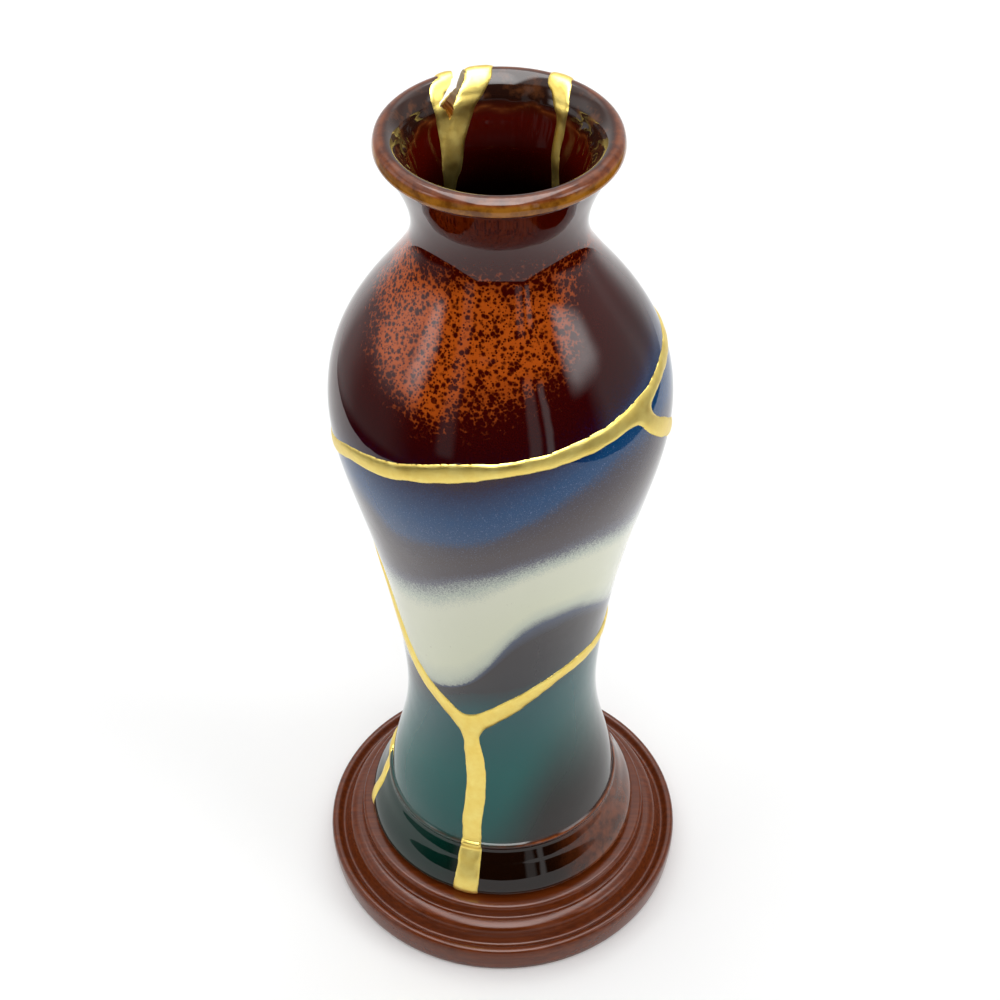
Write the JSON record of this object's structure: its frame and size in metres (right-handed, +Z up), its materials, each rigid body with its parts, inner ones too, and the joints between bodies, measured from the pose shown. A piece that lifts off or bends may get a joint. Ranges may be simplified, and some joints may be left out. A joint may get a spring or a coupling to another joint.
{
  "type": "mended vase on a stand",
  "caption": "Slender glazed stoneware vase with a high shoulder and flaring lip, mended with raised gold seams, resting on a low turned wooden stand.",
  "frame": {"origin": "centre of the stand's flat underside, on the surface that it stands on", "axes": "+Z up along the axis of the vase and the stand; -Y is the front, the side with the forked gold seam; +X is to the right seen from the front"},
  "size_m": [0.1018, 0.1018, 0.2479],
  "materials": {
    "glazed_stoneware": null,
    "gold_lacquer": "gold powder on lacquer, satin, slightly uneven",
    "turned_wood": "reddish brown turned wood, satin oil finish"
  },
  "bodies": {
    "root": {"vase": "glazed_stoneware", "gold_seams": "gold_lacquer", "wooden_stand": "turned_wood"}
  },
  "joints": []
}
